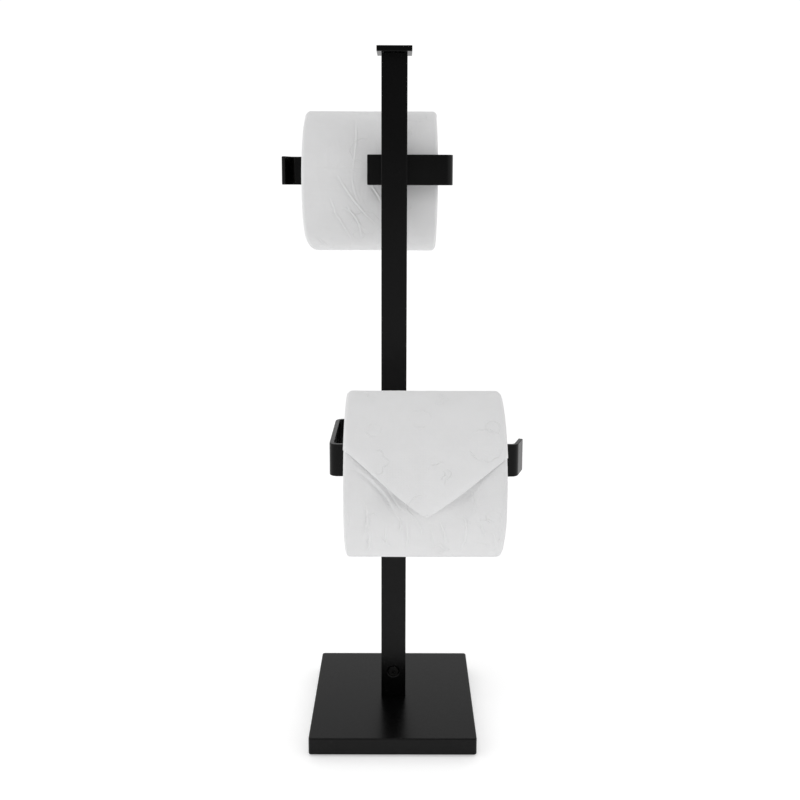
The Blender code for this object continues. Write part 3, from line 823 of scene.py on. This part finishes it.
# -------------------------------------------------------------------------------------------------
# Loose ends: the last sheet of each roll, 101 mm wide and 117 mm long. Its two corners are folded
# back under it, so that it ends in a point, and the folds stand a little off the roll.
# -------------------------------------------------------------------------------------------------
sheet_width, sheet_length = 2 * roll_half, sheet_pitch
sheet_start = math.radians(-20)
sheet_radius = roll_radius + 0.65 * MM
tip_across = 0.6 * MM
side_angles = {-1: math.radians(57.0), 1: math.radians(62.0)}
fold_radius = 0.35 * MM
sheet_thickness = 0.2 * MM
sheet_web_start = -76.3 * MM
sheet_columns = 160
main_rows, fold_rows, flap_rows = 118, 7, 30


def smooth_rise(value, low, high):
    share = np.clip((value - low) / (high - low), 0, 1)
    return share * share * (3 - 2 * share)


def off_line(points, first, second, inner_side):
    """Distance from each point to a line, positive on the side where another point lies."""
    run, reach, inwards = second - first, points - first, inner_side - first
    turn = run[:, 0] * reach[:, 1] - run[:, 1] * reach[:, 0]
    inner_turn = run[:, 0] * inwards[:, 1] - run[:, 1] * inwards[:, 0]
    return turn * np.sign(inner_turn) / np.hypot(run[:, 0], run[:, 1])


for roll in rolls:
    sheet_rows = main_rows + fold_rows + flap_rows
    tail, column, row = grid_piece(f"{roll['name']}_last_sheet", sheet_columns, sheet_rows)
    across = (column / sheet_columns - 0.5) * sheet_width
    end = np.where(across < tip_across, -1, 1)
    side_down = np.where(end < 0, side_angles[-1], side_angles[1]) * sheet_radius - sheet_start * sheet_radius
    run = end * sheet_width / 2 - tip_across
    rise = side_down - sheet_length
    fold_length = np.hypot(run, rise)
    fold_down = sheet_length + (across - tip_across) / run * rise
    slope = np.abs(run) / fold_length
    in_fold = np.clip((row - main_rows) / fold_rows, 0, 1)
    past_fold = np.clip((row - main_rows - fold_rows) / flap_rows, 0, 1)
    fold_run = np.minimum(math.pi * fold_radius / slope, sheet_length - fold_down)
    flap_run = sheet_length - fold_down - fold_run
    down = np.where(row <= main_rows, fold_down * row / main_rows,
                    fold_down + fold_run * in_fold + flap_run * past_fold)
    beyond = (down - fold_down) * slope
    turned = np.clip(beyond / fold_radius, 0, math.pi)
    folded_back = np.maximum(beyond - math.pi * fold_radius, 0)
    inwards = np.where(beyond > 0, fold_radius * np.sin(turned) - folded_back, beyond)
    normal = np.stack([-rise * end, run * end], axis=1) / fold_length[:, None]
    placed = np.stack([across, down], axis=1) + normal * (inwards - beyond)[:, None]
    from_fold = np.abs(np.minimum(inwards, 0))
    along_fold = np.clip(1 - np.abs((placed[:, 0] - tip_across) / run), 0, 1)
    stand = np.where(end < 0, 2.4 * MM, 1.7 * MM) * np.sin(math.pi * along_fold) ** 1.3
    lift = stand * np.exp(-(from_fold / (6 * MM)) ** 1.3)
    tip = np.array((tip_across, sheet_length))
    side = np.stack([end * sheet_width / 2, side_down], axis=1)
    corner = np.stack([end * sheet_width / 2, np.full(end.shape, sheet_length)], axis=1)
    folded_corner = corner - 2 * np.sum((corner - tip) * normal, axis=1)[:, None] * normal
    inside_flap = np.minimum(off_line(placed, tip, folded_corner, side),
                             off_line(placed, side, folded_corner, tip))
    over_flap = smooth_rise(inside_flap, -4 * MM, 2 * MM)
    angle = sheet_start + placed[:, 1] / sheet_radius
    along = placed[:, 0] * (1 + 0.2 * MM / roll_half)
    freed = smooth_rise(placed[:, 1], 0, 26 * MM)
    radius = roll_radius + (0.95 * freed - 0.2) * MM + lift * freed + over_flap * 0.15 * MM
    radius += paper_relief({**roll, "creases": (), "dents": ()}, along, angle)
    past_shoulder = np.clip((np.abs(along) - roll_half + rim_rounding) / rim_rounding, 0, 0.94)
    radius -= rim_rounding * (1 - np.sqrt(1 - past_shoulder ** 2))
    radius -= fold_radius * (1 - np.cos(turned))
    unrolled = np.stack([across, down], axis=1) + np.array((roll["web_shift"][0] * MM, sheet_web_start))
    wrap(tail, on_roll(roll, along, angle, radius), unrolled)
    # Painted light: the sheet is painted lighter towards its tip and gets a painted highlight along its
    # folded edges.
    towards_tip = smooth_rise(placed[:, 1], 20 * MM, 110 * MM)
    mark(tail, "bright", np.clip(0.6 * towards_tip + np.exp(-from_fold / (2 * MM)), 0, 1))
    bpy.ops.object.mode_set(mode="EDIT")
    bpy.ops.mesh.select_all(action="SELECT")
    bpy.ops.mesh.remove_doubles(threshold=0.001 * MM)
    bpy.ops.mesh.normals_make_consistent(inside=False)
    bpy.ops.object.mode_set(mode="OBJECT")
    wall = tail.modifiers.new("wall", "SOLIDIFY")
    wall.thickness = sheet_thickness
    wall.offset = 0
    bpy.ops.object.modifier_apply(modifier=wall.name)
    finish_piece(tail, tissue_surface, roll["name"], "tissue", f"{roll['name']}_tail")
